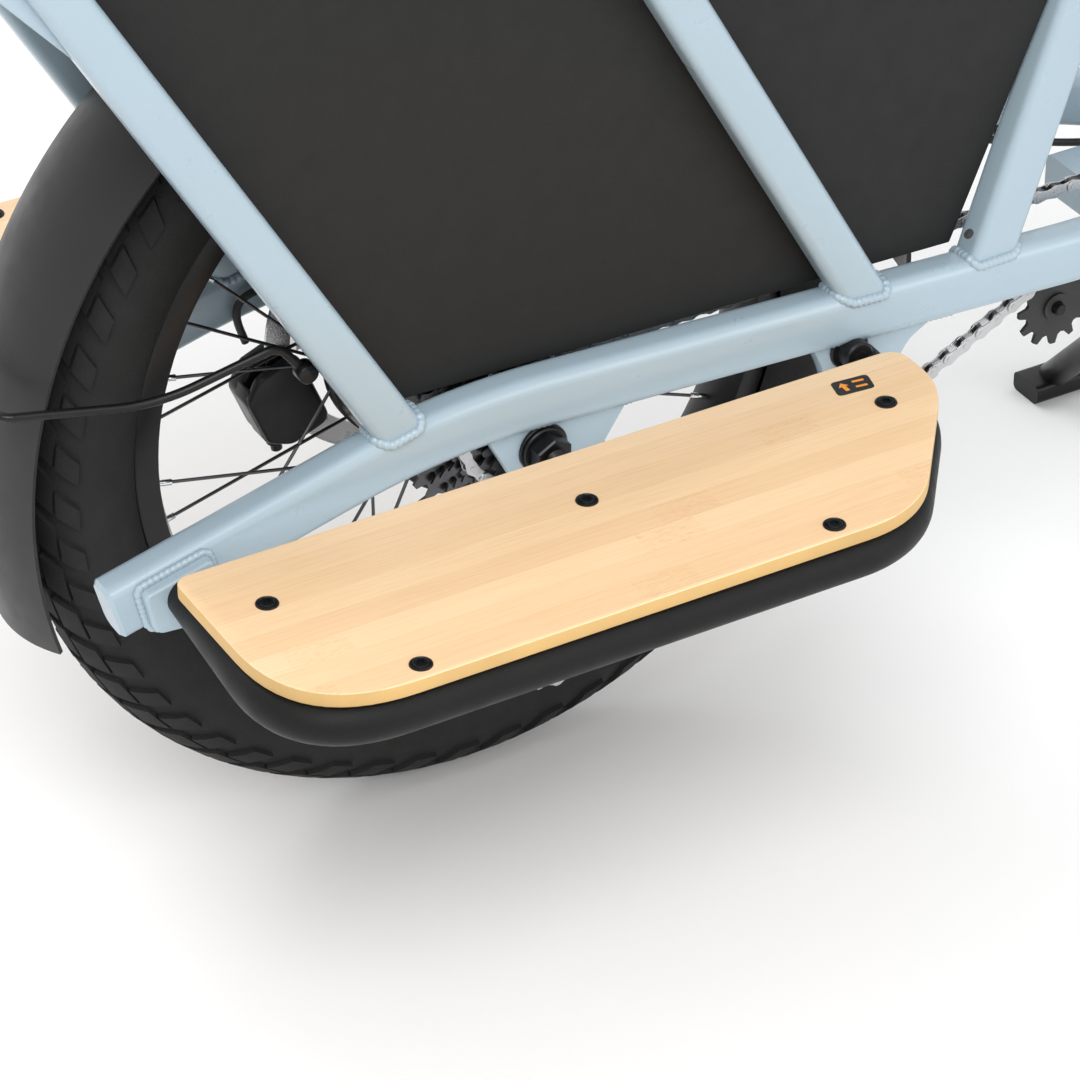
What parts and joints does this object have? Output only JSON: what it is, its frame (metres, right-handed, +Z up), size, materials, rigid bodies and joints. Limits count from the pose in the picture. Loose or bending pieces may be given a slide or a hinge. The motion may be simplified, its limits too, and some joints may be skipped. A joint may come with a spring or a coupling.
{
  "type": "cargo bicycle",
  "caption": "Long-tail electric cargo bicycle: pale blue side frames, bamboo running boards on black tubes, rear rack, hub motor, disc brakes and a folding centre stand.",
  "frame": {"origin": "centre of the bicycle's length, on the ground under it, in its middle plane", "axes": "+X forwards, +Y towards the rider's left, +Z up"},
  "size_m": [2.0344, 0.6774, 1.0324],
  "materials": {
    "paint": "pale blue powder coat, satin",
    "black_metal": "black paint, satin",
    "black_alloy": "black anodised, satin",
    "black_plastic": "matte",
    "tyre": "matte moulded rubber",
    "grip": "matte",
    "steel": "brushed",
    "bamboo": "lacquered laminated bamboo",
    "clear": "clear and glossy",
    "red_lens": "glossy red",
    "saddle_skin": "matte imitation leather"
  },
  "bodies": {
    "frame": {"main_frame": "paint", "side_frame_right": "paint", "side_frame_left": "paint", "rack_hoop": "paint", "rack_platform": "black_plastic", "wheel_panel_right": "black_plastic", "wheel_panel_left": "black_plastic", "deck_board_right": "bamboo", "deck_board_left": "bamboo", "deck_tube_right": "black_metal", "deck_tube_left": "black_metal", "rear_fender": "black_plastic", "fender_stay": "black_metal", "rear_axle": "black_metal", "rear_caliper": "black_alloy", "rear_brake_hose": "black_plastic", "battery": "black_plastic", "tail_light": "red_lens", "seat_collar": "black_alloy", "chain": "steel", "derailleur": "black_metal", "idler_bracket": "black_metal"},
    "rear_wheel": {"rear_tyre": "tyre", "rear_rim": "black_alloy", "rear_hub": "black_alloy", "rear_rotor": "steel"},
    "cassette": {"cassette": "black_metal"},
    "cranks": {"crank_right": "black_alloy", "crank_left": "black_alloy", "chainring": "black_alloy"},
    "pedal_right": {"pedal_right": "black_plastic"},
    "pedal_left": {"pedal_left": "black_plastic"},
    "guide_pulley": {"guide_pulley": "black_plastic"},
    "tension_pulley": {"tension_pulley": "black_plastic"},
    "idler_wheel": {"idler_wheel": "black_plastic"},
    "stand": {"stand_legs": "black_metal"},
    "seat": {"seatpost": "black_alloy", "saddle": "saddle_skin"},
    "collar_lever": {"collar_lever": "black_alloy"},
    "steering": {"fork_crown": "black_alloy", "stem": "black_alloy", "handlebar": "black_alloy", "grip_right": "grip", "grip_left": "grip", "lever_clamp_right": "black_alloy", "lever_clamp_left": "black_alloy", "cockpit_hoses": "black_plastic", "display": "black_plastic", "headlight": "clear"},
    "brake_lever_right": {"brake_lever_right": "black_alloy"},
    "brake_lever_left": {"brake_lever_left": "black_alloy"},
    "throttle_lever": {"throttle_lever": "black_plastic"},
    "shifter_lever": {"shifter_lever": "black_plastic"},
    "fork_lowers": {"fork_lowers": "black_alloy", "front_fender": "black_plastic", "front_caliper": "black_alloy"},
    "front_wheel": {"front_tyre": "tyre", "front_rim": "black_alloy", "front_hub": "black_alloy", "front_rotor": "steel"}
  },
  "joints": [
    {"name": "rear_wheel_spin", "type": "hinge", "parent": "frame", "child": "rear_wheel", "pos_m": [-0.63079, 0, 0.278], "axis": [0, 1, 0], "continuous": true},
    {"name": "cassette_spin", "type": "hinge", "parent": "frame", "child": "cassette", "pos_m": [-0.63079, -0.07, 0.278], "axis": [0, 1, 0], "continuous": true},
    {"name": "crank_spin", "type": "hinge", "parent": "frame", "child": "cranks", "pos_m": [-0.00079, 0, 0.258], "axis": [0, 1, 0], "continuous": true},
    {"name": "pedal_right_spin", "type": "hinge", "parent": "cranks", "child": "pedal_right", "pos_m": [0.16421, -0.168, 0.258], "axis": [0, 1, 0], "continuous": true},
    {"name": "pedal_left_spin", "type": "hinge", "parent": "cranks", "child": "pedal_left", "pos_m": [-0.16579, 0.168, 0.258], "axis": [0, 1, 0], "continuous": true},
    {"name": "guide_pulley_spin", "type": "hinge", "parent": "frame", "child": "guide_pulley", "pos_m": [-0.60279, -0.076, 0.184], "axis": [0, 1, 0], "continuous": true},
    {"name": "tension_pulley_spin", "type": "hinge", "parent": "frame", "child": "tension_pulley", "pos_m": [-0.60879, -0.076, 0.112], "axis": [0, 1, 0], "continuous": true},
    {"name": "idler_spin", "type": "hinge", "parent": "frame", "child": "idler_wheel", "pos_m": [-0.25379, -0.076, 0.2412], "axis": [0, 1, 0], "continuous": true},
    {"name": "stand_fold", "type": "hinge", "parent": "frame", "child": "stand", "pos_m": [-0.09479, 0, 0.138], "axis": [0, 1, 0], "range_deg": [0, 85]},
    {"name": "seat_height", "type": "slide", "parent": "frame", "child": "seat", "axis": [-0.342, 0, 0.9397], "range_m": [-0.06, 0.1]},
    {"name": "collar_lever_open", "type": "hinge", "parent": "frame", "child": "collar_lever", "pos_m": [-0.20386, -0.02, 0.72548], "axis": [-0.342, 0, 0.9397], "range_deg": [-120, 0]},
    {"name": "steer", "type": "hinge", "parent": "frame", "child": "steering", "pos_m": [0.65285, 0, 0.29927], "axis": [-0.3746, 0, 0.9272], "range_deg": [-45, 45]},
    {"name": "brake_lever_right_pull", "type": "hinge", "parent": "steering", "child": "brake_lever_right", "pos_m": [0.43344, -0.21666, 1.02353], "axis": [-0.3746, 0, 0.9272], "range_deg": [-14, 0], "stiffness_Nm_per_rad": 0.6, "springref_deg": 5.73},
    {"name": "brake_lever_left_pull", "type": "hinge", "parent": "steering", "child": "brake_lever_left", "pos_m": [0.43344, 0.21666, 1.02353], "axis": [-0.3746, 0, 0.9272], "range_deg": [0, 14], "stiffness_Nm_per_rad": 0.6, "springref_deg": -5.73},
    {"name": "throttle_push", "type": "hinge", "parent": "steering", "child": "throttle_lever", "pos_m": [0.39851, 0.17314, 1.01418], "axis": [0.3201, -0.9356, 0.1488], "range_deg": [0, 30], "stiffness_Nm_per_rad": 0.15, "springref_deg": -5.73},
    {"name": "shifter_push", "type": "hinge", "parent": "steering", "child": "shifter_lever", "pos_m": [0.39851, -0.17314, 1.01418], "axis": [0.3201, 0.9356, 0.1488], "range_deg": [-30, 0], "stiffness_Nm_per_rad": 0.15, "springref_deg": 5.73},
    {"name": "fork_travel", "type": "slide", "parent": "steering", "child": "fork_lowers", "axis": [-0.3746, 0, 0.9272], "range_m": [0, 0.05], "stiffness_N_per_m": 8000, "springref_m": -0.03},
    {"name": "front_wheel_spin", "type": "hinge", "parent": "fork_lowers", "child": "front_wheel", "pos_m": [0.69921, 0, 0.318], "axis": [0, 1, 0], "continuous": true}
  ],
  "couplings": [
    {"joint": "cassette_spin", "follows": "crank_spin", "ratio": 2},
    {"joint": "idler_spin", "follows": "crank_spin", "ratio": -3},
    {"joint": "guide_pulley_spin", "follows": "crank_spin", "ratio": -3.2727},
    {"joint": "tension_pulley_spin", "follows": "crank_spin", "ratio": 3.2727}
  ]
}
